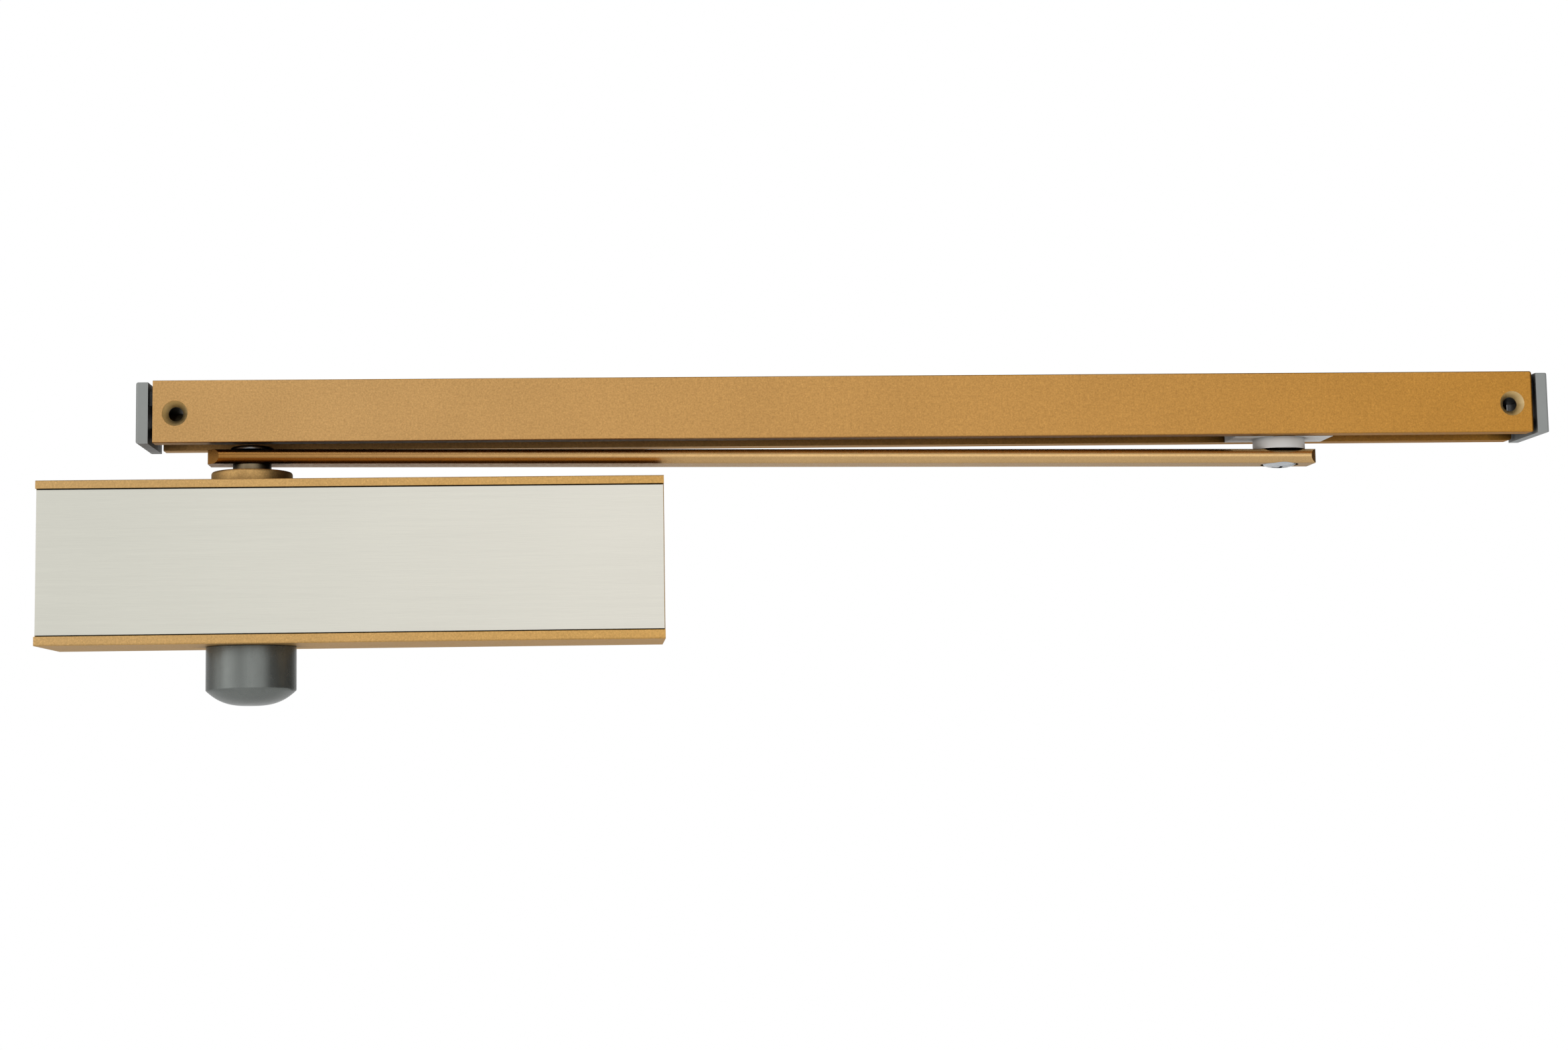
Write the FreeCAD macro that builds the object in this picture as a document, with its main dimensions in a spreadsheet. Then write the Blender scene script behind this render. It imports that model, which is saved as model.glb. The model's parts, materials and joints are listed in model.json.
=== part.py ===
"""Door closer with a slide arm and a guide rail, as separate pieces.

Millimetres, +Z up. The origin is the centre of the body's fixing pattern on its back face.
+X runs along the rail towards the slider, +Y points into the door that the body is screwed to.
"""
import FreeCAD
import Part
import Sketcher
import math
import os
import re

# ---------------------------------------------------------------- driving dimensions
SIZES = {
    # body
    "body_length": 212.5,
    "body_depth": 44.0,
    "body_height": 56.0,
    "body_edge": 0.5,
    "margin": 2.0,              # how far a cut runs past the piece that it cuts
    "press_gap": 0.02,          # radial gap of a press fit or of a thread
    "bore_dia": 30.0,
    "bore_back": 20.0,          # bore axis to the back face
    "recess_depth": 2.1,
    "recess_top": 25.2,
    "recess_bottom": 24.9,
    "plate_thick": 1.5,
    "plate_gap": 0.45,
    "plate_end_gap": 0.3,
    "fixing_x": 186.0,
    "fixing_z": 40.0,
    "fixing_dia": 5.5,
    "fixing_head_dia": 10.0,
    "fixing_head_angle": 90.0,
    "clip_x": 64.0,
    "clip_z": 15.0,
    "clip_dia": 4.0,
    "clip_length": 4.6,
    "clip_play": 0.05,
    "clip_bottom": 0.3,
    # spindle and its bearings
    "spindle_x": -36.65,
    "collar_dia": 28.0,
    "collar_height": 4.7,
    "collar_edge": 0.9,
    "spigot_dia": 26.0,
    "spigot_length": 6.8,
    "spigot_bottom": 0.2,
    "bearing_hole_dia": 22.0,
    "bearing_start": 12.5,
    "bearing_length": 8.0,
    "bearing_wall": 0.8,
    "needle_dia": 2.1,
    "needle_length": 6.4,
    "needle_count": 24,
    "needle_play": 0.04,
    "journal_dia": 16.0,
    "neck_dia": 13.3,
    "neck_play": 0.08,
    "seal_dia": 18.0,
    "seal_length": 4.4,
    "seal_shelf": 0.8,          # floor of the cover under the seal
    "seal_play": 0.03,
    "seal_lip": 0.9,
    "seal_lip_height": 1.1,
    "washer_dia": 21.4,
    "washer_start": 10.25,
    "washer_thick": 2.0,
    "washer_play": 0.1,
    "journal_start": 10.15,     # just past the rack's teeth
    "journal_gap": 0.4,         # journal's overhang past its bearing
    "pinion_step": 0.6,
    "shoulder_height": 35.2,    # where the arm sits on the spindle
    "square_side": 9.3,
    "square_play": 0.06,
    "square_length": 4.7,
    # rack and pinion
    "gear_module": 1.5,
    "pinion_teeth": 12,
    "pinion_half_width": 9.7,
    "rack_addendum": 1.05,
    "root_clearance": 0.35,
    "backlash": 0.2,
    "rack_teeth": 9,
    "swing_travel_deg": 150.0,
    # piston, spring and end plugs
    "piston_play": 0.05,
    "piston_head": 12.0,
    "piston_skirt": 16.0,
    "piston_skirt_floor": 6.0,
    "slot_margin": 2.2,
    "slot_half_height": 10.0,
    "slot_back": 10.9,
    "spring_mean_dia": 24.0,
    "spring_wire": 4.0,
    "spring_turns": 11.0,
    "spring_start_gap": 2.4,
    "spring_end_gap": 0.3,
    "spring_side_gap": 0.3,
    "spigot_guide_dia": 18.0,
    "seat_x": 82.0,
    "seat_thick": 6.0,
    "seat_dia": 29.6,
    "seat_spigot": 4.0,
    "adjuster_dia": 8.0,
    "adjuster_play": 0.06,
    "adjuster_flange_dia": 13.0,
    "adjuster_flange": 2.0,
    "adjuster_float": 0.1,
    "adjuster_sunk": 0.4,
    "adjuster_inner_x": 60.0,
    "adjuster_point": 1.0,
    "adjuster_ring_wire": 1.0,
    "adjuster_ring_from_back": 3.4,
    "adjuster_socket": 4.0,
    "adjuster_socket_depth": 5.0,
    "plug_length": 12.0,
    "plug_recess": 0.6,
    "plug_edge": 0.6,
    "plug_groove": 4.2,         # outer side of the ring's groove to the plug's back
    "plug_socket": 12.0,
    "plug_socket_depth": 6.0,
    "plug_spanner_offset": 9.5,
    "plug_spanner_dia": 3.0,
    "plug_spanner_depth": 4.0,
    "ring_wire": 1.6,
    "groove_width": 1.3,        # groove's width over the ring's wire
    "ring_gap": 0.02,
    "check_seat_dia": 8.0,
    "check_seat_length": 8.0,
    "check_ball_dia": 4.0,
    "check_ball_gap": 0.15,
    "check_ball_x": 3.2,
    "check_neck": 1.5,
    "check_cone": 1.1,
    # speed valves
    "valve_front": 37.0,        # valve axis to the back face
    "valve_z": 12.0,
    "valve_hole_dia": 6.6,
    "valve_dia": 6.5,
    "valve_length": 14.0,
    "valve_bottom": 2.5,        # hole's extra depth past the valve's point
    "valve_sunk": 0.4,
    "valve_groove": 3.2,
    "valve_point": 3.0,
    "valve_tip_dia": 0.6,
    "valve_slot": 1.0,
    "valve_slot_depth": 1.5,
    "valve_ring_wire": 1.0,
    "port_dia": 2.4,
    "port_far_x": 20.0,
    # spindle cap
    "cap_dia": 31.0,
    "cap_side": 14.2,
    "cap_dome": 6.2,
    "cap_wall": 1.45,
    "cap_lip": 0.6,             # step inside the cap that stops it on the collar
    "cap_rim_gap": 0.15,
    "cap_grip": 0.05,
    # arm
    "arm_thick": 5.0,
    "arm_width": 16.0,
    "arm_reach": 364.2,         # spindle axis to slider axis
    "arm_back_end": 14.9,
    "arm_far_end": 11.5,
    "arm_front_corner": 4.3,
    "arm_rear_corner": 2.5,
    "arm_tip_corner": 2.0,
    "arm_droop_deg": 0.36,
    "arm_lift": 0.06,
    "slider_back": 15.0,        # slider axis to the back face
    "arm_screw_head_dia": 15.4,
    "arm_screw_head": 1.2,
    "arm_screw_gap": 0.12,
    "arm_screw_socket": 5.0,
    "arm_screw_socket_depth": 3.0,
    "arm_screw_dia": 6.0,
    "arm_screw_length": 16.0,
    "bush_dia": 10.0,
    "bush_play": 0.06,
    "bush_low_gap": 0.25,
    "bush_top_gap": 0.3,
    "pivot_dia": 8.0,
    "pivot_recess_dia": 13.4,
    "pivot_recess": 1.5,
    "pivot_head_dia": 11.8,
    "pivot_head_drop": 1.1,
    "pivot_head_gap": 0.2,
    "pivot_cross": 5.8,
    "pivot_cross_width": 1.1,
    "pivot_cross_depth": 1.6,
    "pivot_thread_dia": 6.0,
    "pivot_thread": 12.0,
    # slider
    "boss_dia": 18.3,
    "boss_gap": 0.25,
    "block_length": 35.0,
    "block_neck": 16.6,
    "block_width": 22.8,
    "block_top": 54.6,
    "block_drop": 0.1,          # how far the neck stands out below the rail
    "block_lip_gap": 0.3,
    "insert_dia": 10.0,
    "insert_sunk": 0.3,
    # guide rail
    "rail_length": 485.2,
    "rail_centre_x": 173.0,
    "rail_depth": 30.0,
    "rail_bottom": 42.3,
    "rail_height": 21.7,
    "rail_wall": 3.2,
    "rail_lip": 2.2,
    "rail_slot": 17.0,
    "rail_edge": 0.35,
    "rail_end_corner": 1.0,     # worn top corner of the far end
    "rail_hole_dia": 5.0,
    "rail_head_dia": 8.8,
    "rail_head_angle": 70.0,
    "rail_hole_spacing": 470.0,
    "rail_hole_z": 52.5,
    "cap_flange": 4.2,
    "left_cap_gap": 1.6,
    "right_cap_gap": 1.2,
    "cap_top_step": 0.65,
    "cap_drop": 0.3,            # how far the flange stands below the rail
    "cap_corner": 0.9,
    "cap_tab_length": 9.0,
    "cap_tab_low": 55.6,
    "cap_tab_high": 60.6,
    "cap_foot_high": 48.4,
    "cap_foot_width": 12.0,
    "cap_fit": 0.15,
}

doc = FreeCAD.newDocument("door_closer")
sheet = doc.addObject("Spreadsheet::Sheet", "Sizes")
for row, (alias, size) in enumerate(SIZES.items(), start=1):
    sheet.set(f"A{row}", alias)
    sheet.set(f"B{row}", str(size))
    sheet.setAlias(f"B{row}", alias)
doc.recompute()

NAMES = re.compile(r"\b(" + "|".join(sorted(SIZES, key=len, reverse=True)) + r")\b")
SPINDLE = ("spindle_x", "-bore_back", "0")
nodes = []


# ---------------------------------------------------------------- helpers
def linked(text):
    """A formula written with the sheet's names, as an expression on the sheet."""
    return NAMES.sub(r"Sizes.\1", str(text))


def bind(thing, prop, text):
    thing.setExpression(prop, linked(text))


def place(thing, at, axis=None, angle=None):
    """Puts a finished piece at three formulas, turned by an angle about an axis."""
    if axis:
        thing.Placement = FreeCAD.Placement(FreeCAD.Vector(), FreeCAD.Rotation(FreeCAD.Vector(*axis), angle))
    for letter, text in zip("xyz", at):
        bind(thing, f".Placement.Base.{letter}", text)


def new_body(label, at=None, axis=None, angle=None):
    body = doc.addObject("PartDesign::Body", label)
    body.Label = label
    if at:
        place(body, at, axis, angle)
    nodes.append(body)
    return body


def new_sketch(body, plane, offset=None):
    """A sketch on one of the body's own origin planes, moved along its normal by a formula."""
    sketch = body.newObject("Sketcher::SketchObject", "sketch")
    origin_plane = next(f for f in body.Origin.OriginFeatures if f.Role == plane)
    sketch.AttachmentSupport = [(origin_plane, "")]
    sketch.MapMode = "FlatFace"
    if offset is not None:
        bind(sketch, ".AttachmentOffset.Base.z", offset)
    return sketch


def measure(sketch, kind, prop_text, *where):
    index = sketch.addConstraint(Sketcher.Constraint(kind, *where, 1.0))
    bind(sketch, f"Constraints[{index}]", prop_text)


def outline(sketch, corners):
    """A closed outline of straight lines through corners given as pairs of formulas."""
    count = len(corners)
    first = sketch.GeometryCount
    for i in range(count):
        turn = 2 * math.pi * i / count
        after = 2 * math.pi * (i + 1) / count
        start = FreeCAD.Vector(math.cos(turn), math.sin(turn), 0)
        end = FreeCAD.Vector(math.cos(after), math.sin(after), 0)
        sketch.addGeometry(Part.LineSegment(start, end), False)
    for i, (across, up) in enumerate(corners):
        line = first + i
        before = first + (i - 1) % count
        sketch.addConstraint(Sketcher.Constraint("Coincident", before, 2, line, 1))
        measure(sketch, "DistanceX", across, -1, 1, line, 1)
        measure(sketch, "DistanceY", up, -1, 1, line, 1)


def rectangle(sketch, left, right, low, high):
    outline(sketch, [(left, low), (right, low), (right, high), (left, high)])


def circle(sketch, across, up, dia):
    index = sketch.addGeometry(Part.Circle(FreeCAD.Vector(), FreeCAD.Vector(0, 0, 1), 1.0), False)
    measure(sketch, "DistanceX", across, -1, 1, index, 3)
    measure(sketch, "DistanceY", up, -1, 1, index, 3)
    measure(sketch, "Diameter", dia, index)


def hexagon(sketch, across_flats):
    radius = f"({across_flats}) / 2 / cos(30)"
    outline(sketch, [(f"{radius} * cos({60 * i})", f"{radius} * sin({60 * i})") for i in range(6)])


def pad(body, sketch, length, midplane=False, backwards=False):
    feature = body.newObject("PartDesign::Pad", "pad")
    feature.Profile = sketch
    feature.Midplane = midplane
    feature.Reversed = backwards
    bind(feature, "Length", length)
    return feature


def cut(body, sketch, length=None, midplane=False, backwards=False):
    """Removes the sketch's outline: through everything, or to a depth."""
    feature = body.newObject("PartDesign::Pocket", "pocket")
    feature.Profile = sketch
    feature.Midplane = midplane
    feature.Reversed = backwards
    if length is None:
        feature.Type = "ThroughAll"
    else:
        bind(feature, "Length", length)
    return feature


def turned(label, profile, at, axis=None, angle=None):
    """A round piece: its half outline as (radius, height) pairs, turned about its own Z axis."""
    body = new_body(label, at, axis, angle)
    sketch = new_sketch(body, "XZ_Plane")
    outline(sketch, profile)
    feature = body.newObject("PartDesign::Revolution", "turning")
    feature.Profile = sketch
    feature.ReferenceAxis = (sketch, ["V_Axis"])
    feature.Angle = 360
    return body


def hex_socket(body, top, across_flats, depth):
    """A hexagon socket sunk from the height top towards -Z."""
    sketch = new_sketch(body, "XY_Plane", top)
    hexagon(sketch, across_flats)
    return cut(body, sketch, depth)


def round_edges(body, radius, wanted):
    """Rounds the edges of the body's shape that the test picks."""
    doc.recompute()
    base = body.Tip
    names = [f"Edge{i}" for i, edge in enumerate(base.Shape.Edges, start=1) if wanted(edge)]
    if not names:
        raise SystemExit(f"{body.Label}: no edges to round")
    feature = body.newObject("PartDesign::Fillet", "rounding")
    feature.Base = (base, names)
    bind(feature, "Radius", radius)
    return feature


def runs_along(edge, axis):
    """True for a straight edge parallel to an axis."""
    if edge.Curve.TypeId != "Part::GeomLine":
        return False
    return abs(edge.Curve.Direction.dot(FreeCAD.Vector(*axis))) > 0.999


def torus(label, ring_dia, wire, at, axis=(0, 0, 1), angle=0):
    """An O-ring: ring_dia is the diameter of the wire's centre line."""
    ring = doc.addObject("Part::Torus", label)
    ring.Label = label
    bind(ring, "Radius1", f"({ring_dia}) / 2")
    bind(ring, "Radius2", f"({wire}) / 2")
    place(ring, at, axis, angle)
    nodes.append(ring)
    return ring


# ---------------------------------------------------------------- body
def housing():
    body = new_body("housing")
    block = new_sketch(body, "YZ_Plane")
    rectangle(block, "-body_depth", "0", "-body_height / 2", "body_height / 2")
    pad(body, block, "body_length", midplane=True)
    round_edges(body, "body_edge", lambda edge: runs_along(edge, (1, 0, 0)))
    recess = new_sketch(body, "YZ_Plane")
    rectangle(recess, "-body_depth - margin", "-body_depth + recess_depth", "-recess_bottom", "recess_top")
    cut(body, recess, "body_length + margin", midplane=True)
    bore = new_sketch(body, "YZ_Plane")
    circle(bore, "-bore_back", "0", "bore_dia")
    cut(body, bore, "body_length + margin", midplane=True)
    drop = new_sketch(body, "XY_Plane")
    circle(drop, "spindle_x", "-bore_back", "bearing_hole_dia")
    cut(body, drop, "body_height + margin", midplane=True)
    for side in ("", "-"):
        seat = new_sketch(body, "XY_Plane", f"{side}body_height / 2")
        circle(seat, "spindle_x", "-bore_back", "spigot_dia")
        cut(body, seat, "spigot_length + spigot_bottom", backwards=side == "-")
    valves = new_sketch(body, "YZ_Plane", "-body_length / 2")
    for side in ("", "-"):
        circle(valves, "-valve_front", f"{side}valve_z", "valve_hole_dia")
    cut(body, valves, "valve_length + valve_bottom", backwards=True)
    passages = new_sketch(body, "YZ_Plane", "-body_length / 2")
    for side in ("", "-"):
        circle(passages, "-valve_front", f"{side}valve_z", "port_dia")
    cut(body, passages, "body_length / 2 + port_far_x", backwards=True)
    ports = new_sketch(body, "XZ_Plane", "valve_front")
    for across in ("-body_length / 2 + valve_length - port_dia / 2", "port_far_x - port_dia / 2"):
        for side in ("", "-"):
            circle(ports, across, f"{side}valve_z", "port_dia")
    cut(body, ports, "valve_front - bore_back")
    clips = new_sketch(body, "XZ_Plane", "body_depth - recess_depth")
    for along in ("", "-"):
        for side in ("", "-"):
            circle(clips, f"{along}clip_x", f"{side}clip_z", "clip_dia + 2 * clip_play")
    cut(body, clips, "clip_length + clip_bottom")
    screws = new_sketch(body, "XZ_Plane", "body_depth - recess_depth")
    for along in ("", "-"):
        for side in ("", "-"):
            circle(screws, f"{along}fixing_x / 2", f"{side}fixing_z / 2", "fixing_dia")
    countersunk_holes(body, screws, "fixing_dia", "fixing_head_dia", "fixing_head_angle")


def countersunk_holes(body, centres, dia, head_dia, angle):
    """Holes through the body at the sketch's circles, sunk for conical heads."""
    doc.recompute()
    hole = body.newObject("PartDesign::Hole", "holes")
    hole.Profile = centres
    hole.DepthType = "ThroughAll"
    hole.ThreadType = "None"
    bind(hole, "Diameter", dia)
    hole.HoleCutType = "Countersink"
    hole.HoleCutCustomValues = True
    bind(hole, "HoleCutDiameter", head_dia)
    bind(hole, "HoleCutCountersinkAngle", angle)


def cover_plate():
    body = new_body("cover_plate")
    face = new_sketch(body, "XZ_Plane", "body_depth - recess_depth")
    half = "body_length / 2 - plate_end_gap"
    rectangle(face, f"-({half})", half, "-recess_bottom + plate_gap", "recess_top - plate_gap")
    pad(body, face, "plate_thick")


def plate_clips():
    """Four plastic pins behind the plate, pressed into the body."""
    body = new_body("plate_clips")
    pins = new_sketch(body, "XZ_Plane", "body_depth - recess_depth")
    for along in ("", "-"):
        for side in ("", "-"):
            circle(pins, f"{along}clip_x", f"{side}clip_z", "clip_dia")
    pad(body, pins, "clip_length", backwards=True)


def bearing_cover(label, axis, angle):
    """The collar round the spindle, screwed into the body, with room for the seal."""
    inside = "neck_dia / 2 + neck_play"
    low = "body_height / 2 - spigot_length"
    top = "body_height / 2 + collar_height"
    seal_low = f"{low} + seal_shelf"
    profile = [
        (inside, low),
        ("spigot_dia / 2 - press_gap", low),
        ("spigot_dia / 2 - press_gap", "body_height / 2"),
        ("collar_dia / 2", "body_height / 2"),
        ("collar_dia / 2", f"{top} - collar_edge"),
        *[(f"collar_dia / 2 - collar_edge * (1 - cos({turn}))", f"{top} - collar_edge * (1 - sin({turn}))")
          for turn in (30, 60)],
        ("collar_dia / 2 - collar_edge", top),
        (inside, top),
        (inside, f"{seal_low} + seal_length"),
        ("seal_dia / 2", f"{seal_low} + seal_length"),
        ("seal_dia / 2", seal_low),
        (inside, seal_low),
    ]
    turned(label, profile, SPINDLE, axis, angle)


def shaft_seal(label, axis, angle):
    """Rubber ring with two lips round the spindle's neck."""
    low = "body_height / 2 - spigot_length + seal_shelf + seal_play"
    high = f"{low} + seal_length - 2 * seal_play"
    inside = "neck_dia / 2 + seal_play"
    outside = "seal_dia / 2 - seal_play"
    profile = [
        (inside, low),
        (outside, low),
        (outside, high),
        (inside, high),
        (inside, f"{high} - seal_lip_height"),
        (f"{inside} + seal_lip", f"{low} + seal_length / 2"),
        (inside, f"{low} + seal_lip_height"),
    ]
    turned(label, profile, SPINDLE, axis, angle)


def needle_bearing(label, side):
    """A drawn cup with its needles standing round the spindle's journal."""
    cup_outer = doc.addObject("Part::Cylinder", f"{label}_outer")
    bind(cup_outer, "Radius", "bearing_hole_dia / 2 - press_gap")
    bind(cup_outer, "Height", "bearing_length")
    cup_inner = doc.addObject("Part::Cylinder", f"{label}_inner")
    bind(cup_inner, "Radius", "bearing_hole_dia / 2 - bearing_wall")
    bind(cup_inner, "Height", "bearing_length + margin")
    low = "bearing_start" if side > 0 else "-bearing_start - bearing_length"
    place(cup_outer, ("spindle_x", "-bore_back", low))
    place(cup_inner, ("spindle_x", "-bore_back", f"{low} - margin / 2"))
    cup = doc.addObject("Part::Cut", f"{label}_cup")
    cup.Base = cup_outer
    cup.Tool = cup_inner
    pieces = [cup]
    pitch_radius = "(journal_dia + needle_dia) / 2 + needle_play"
    needle_count = int(sheet.needle_count)
    for i in range(needle_count):
        needle = doc.addObject("Part::Cylinder", f"{label}_needle")
        bind(needle, "Radius", "needle_dia / 2")
        bind(needle, "Height", "needle_length")
        turn = 360 * i / needle_count
        place(needle, (
            f"spindle_x + ({pitch_radius}) * cos({turn})",
            f"-bore_back + ({pitch_radius}) * sin({turn})",
            f"{low} + (bearing_length - needle_length) / 2",
        ))
        pieces.append(needle)
    bearing = doc.addObject("Part::Compound", label)
    bearing.Label = label
    bearing.Links = pieces
    nodes.append(bearing)


def thrust_washer(label, axis, angle):
    inside = "journal_dia / 2 + washer_play"
    top = "washer_start + washer_thick"
    profile = [
        (inside, "washer_start"),
        ("washer_dia / 2", "washer_start"),
        ("washer_dia / 2", top),
        (inside, top),
    ]
    turned(label, profile, SPINDLE, axis, angle)


def spindle_cap():
    """The domed cover pressed over the lower collar; it hides the spindle's spare end."""
    rim = "-body_height / 2 - cap_rim_gap"
    shoulder = "-body_height / 2 - cap_side"
    grip = "collar_dia / 2 + cap_grip"
    stop = "-body_height / 2 - collar_height - cap_rim_gap"
    turns = range(0, 91, 10)
    dome = [(f"cap_dia / 2 * sin({turn})", f"{shoulder} - cap_dome * cos({turn})") for turn in turns]
    inner_radius = "(collar_dia / 2 - cap_lip)"
    hollow = [
        (f"{inner_radius} * sin({turn})", f"{shoulder} - (cap_dome - cap_wall) * cos({turn})")
        for turn in reversed(turns)
    ]
    profile = dome + [
        ("cap_dia / 2", rim),
        (grip, rim),
        (grip, stop),
        (inner_radius, stop),
    ] + hollow
    turned("spindle_cap", profile, SPINDLE)


# ---------------------------------------------------------------- rack and pinion
def tooth_flank(base_radius, half_angle, root, tip):
    """Points up one side of a pinion tooth: radial below the base circle, involute above."""
    points = [(root, half_angle)]
    steps = 6
    for i in range(steps + 1):
        radius = base_radius + (tip - base_radius) * i / steps
        roll = math.sqrt(max((radius / base_radius) ** 2 - 1, 0))
        points.append((radius, half_angle - (roll - math.atan(roll))))
    return points


def pinion_teeth():
    """The toothed part of the spindle, with one tooth pointing at the rack (-Y)."""
    module = sheet.gear_module
    count = int(sheet.pinion_teeth)
    pitch_radius = module * count / 2
    pressure = math.radians(20)
    base_radius = pitch_radius * math.cos(pressure)
    involute = math.tan(pressure) - pressure
    half_tooth = (math.pi * module / 2 - sheet.backlash / 2) / 2 / pitch_radius
    root = pitch_radius - sheet.rack_addendum - sheet.root_clearance
    flank = tooth_flank(base_radius, half_tooth + involute, root, pitch_radius + module)
    low = -sheet.pinion_half_width
    corners = []
    for tooth in range(count):
        middle = -math.pi / 2 + 2 * math.pi * tooth / count
        sides = [(radius, middle - turn) for radius, turn in flank]
        sides += [(radius, middle + turn) for radius, turn in reversed(flank)]
        corners += [FreeCAD.Vector(r * math.cos(a), r * math.sin(a), low) for r, a in sides]
    wire = Part.makePolygon(corners + corners[:1])
    teeth = doc.addObject("Part::Feature", "pinion_teeth")
    teeth.Shape = Part.Face(wire).extrude(FreeCAD.Vector(0, 0, -2 * low))
    place(teeth, SPINDLE)
    return teeth


def spindle_pinion():
    """Spindle: pinion in the middle, two journals, two necks and a square at each end."""
    shaft = doc.addObject("PartDesign::Body", "spindle_shaft")
    place(shaft, SPINDLE)
    sketch = new_sketch(shaft, "XZ_Plane")
    journal_end = "bearing_start + bearing_length + journal_gap"
    half = [
        ("neck_dia / 2", "shoulder_height"),
        ("neck_dia / 2", journal_end),
        ("journal_dia / 2", journal_end),
        ("journal_dia / 2", "journal_start"),
        ("journal_dia / 2 - pinion_step", "journal_start - pinion_step"),
    ]
    mirrored = [(radius, f"-({up})") for radius, up in reversed(half)]
    outline(sketch, [("0", "shoulder_height")] + half + mirrored + [("0", "-shoulder_height")])
    feature = shaft.newObject("PartDesign::Revolution", "turning")
    feature.Profile = sketch
    feature.ReferenceAxis = (sketch, ["V_Axis"])
    feature.Angle = 360
    square = new_sketch(shaft, "XY_Plane")
    rectangle(square, "-square_side / 2", "square_side / 2", "-square_side / 2", "square_side / 2")
    pad(shaft, square, "2 * (shoulder_height + square_length)", midplane=True)
    for side in ("", "-"):
        thread = new_sketch(shaft, "XY_Plane", f"{side}(shoulder_height + square_length)")
        circle(thread, "0", "0", "arm_screw_dia + 2 * press_gap")
        cut(shaft, thread, "arm_screw_length", backwards=side == "-")
    spindle = doc.addObject("Part::MultiFuse", "spindle_pinion")
    spindle.Label = "spindle_pinion"
    spindle.Shapes = [shaft, pinion_teeth()]
    nodes.append(spindle)


def piston():
    """Cylinder with a slot for the pinion, a rack on the slot's front wall and two heads."""
    pitch_line = "bore_back + gear_module * pinion_teeth / 2"
    reach = "gear_module * (pinion_teeth + 2) / 2 + slot_margin"
    travel = "gear_module * pinion_teeth / 2 * swing_travel_deg * pi / 180"
    slot_left = f"spindle_x - ({reach}) - {travel}"
    slot_right = f"spindle_x + {reach}"
    left = f"{slot_left} - piston_head"
    right = f"{slot_right} + piston_skirt"
    body = new_body("piston")
    barrel = new_sketch(body, "YZ_Plane", left)
    circle(barrel, "-bore_back", "0", "bore_dia - 2 * piston_play")
    pad(body, barrel, f"{right} - ({left})")
    root_line = f"-({pitch_line}) - gear_module - root_clearance"
    slot = new_sketch(body, "XY_Plane")
    rectangle(slot, slot_left, slot_right, root_line, "-bore_back + slot_back")
    cut(body, slot, "bore_dia + margin", midplane=True)
    flats = new_sketch(body, "XZ_Plane")
    for side in ("", "-"):
        near, far = f"{side}slot_half_height", f"{side}(bore_dia / 2 + margin)"
        rectangle(flats, slot_left, slot_right, near, far)
    cut(body, flats, "2 * (bore_back + bore_dia)", midplane=True)
    pocket = new_sketch(body, "YZ_Plane", right)
    circle(pocket, "-bore_back", "0", "spring_mean_dia + spring_wire + 2 * spring_side_gap")
    circle(pocket, "-bore_back", "0", "spigot_guide_dia")
    cut(body, pocket, "piston_skirt - piston_skirt_floor")
    check = new_sketch(body, "YZ_Plane", left)
    circle(check, "-bore_back", "0", "check_seat_dia")
    cut(body, check, "check_seat_length", backwards=True)
    bleed = new_sketch(body, "YZ_Plane", left)
    circle(bleed, "-bore_back", "0", "port_dia")
    cut(body, bleed, "piston_head + margin", backwards=True)
    rack_tooth(body, pitch_line, slot_left)
    return left, right


def rack_tooth(body, pitch_line, slot_left):
    """One rack tooth, repeated along the slot; a gap faces the pinion's tooth at rest."""
    slope = math.tan(math.radians(20))
    pitch = "(gear_module * pi)"
    half = f"({pitch} / 4 - backlash / 4)"
    teeth_right = 2
    first = f"(spindle_x + {pitch} * ({teeth_right} - 0.5))"
    root = "(gear_module + root_clearance + margin / 10)"
    tooth = new_sketch(body, "XY_Plane")
    outline(tooth, [
        (f"{first} - {half} - {root} * {slope}", f"-({pitch_line}) - {root}"),
        (f"{first} + {half} + {root} * {slope}", f"-({pitch_line}) - {root}"),
        (f"{first} + {half} - rack_addendum * {slope}", f"-({pitch_line}) + rack_addendum"),
        (f"{first} - {half} + rack_addendum * {slope}", f"-({pitch_line}) + rack_addendum"),
    ])
    feature = pad(body, tooth, "2 * slot_half_height", midplane=True)
    doc.recompute()
    row = body.newObject("PartDesign::LinearPattern", "rack")
    row.Originals = [feature]
    row.Direction = (tooth, ["H_Axis"])
    row.Reversed = True
    bind(row, "Length", f"{pitch} * (rack_teeth - 1)")
    bind(row, "Occurrences", "rack_teeth")
    body.Tip = row


def check_valve(piston_left):
    """One-way valve in the piston's left head: a seat with a ball in it."""
    along_x = ((0, 1, 0), 90)
    inside = "check_ball_dia / 2 + check_ball_gap"
    outside = "check_seat_dia / 2 - press_gap"
    profile = [
        (inside, "0"),
        (outside, "0"),
        (outside, "check_seat_length"),
        ("port_dia / 2", "check_seat_length"),
        ("port_dia / 2", "check_seat_length - check_neck"),
        (inside, "check_seat_length - check_neck - check_cone"),
    ]
    turned("check_valve_seat", profile, (piston_left, "-bore_back", "0"), *along_x)
    ball = doc.addObject("Part::Sphere", "check_valve_ball")
    ball.Label = "check_valve_ball"
    bind(ball, "Radius", "check_ball_dia / 2")
    place(ball, (f"{piston_left} + check_ball_x", "-bore_back", "0"))
    nodes.append(ball)


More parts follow.
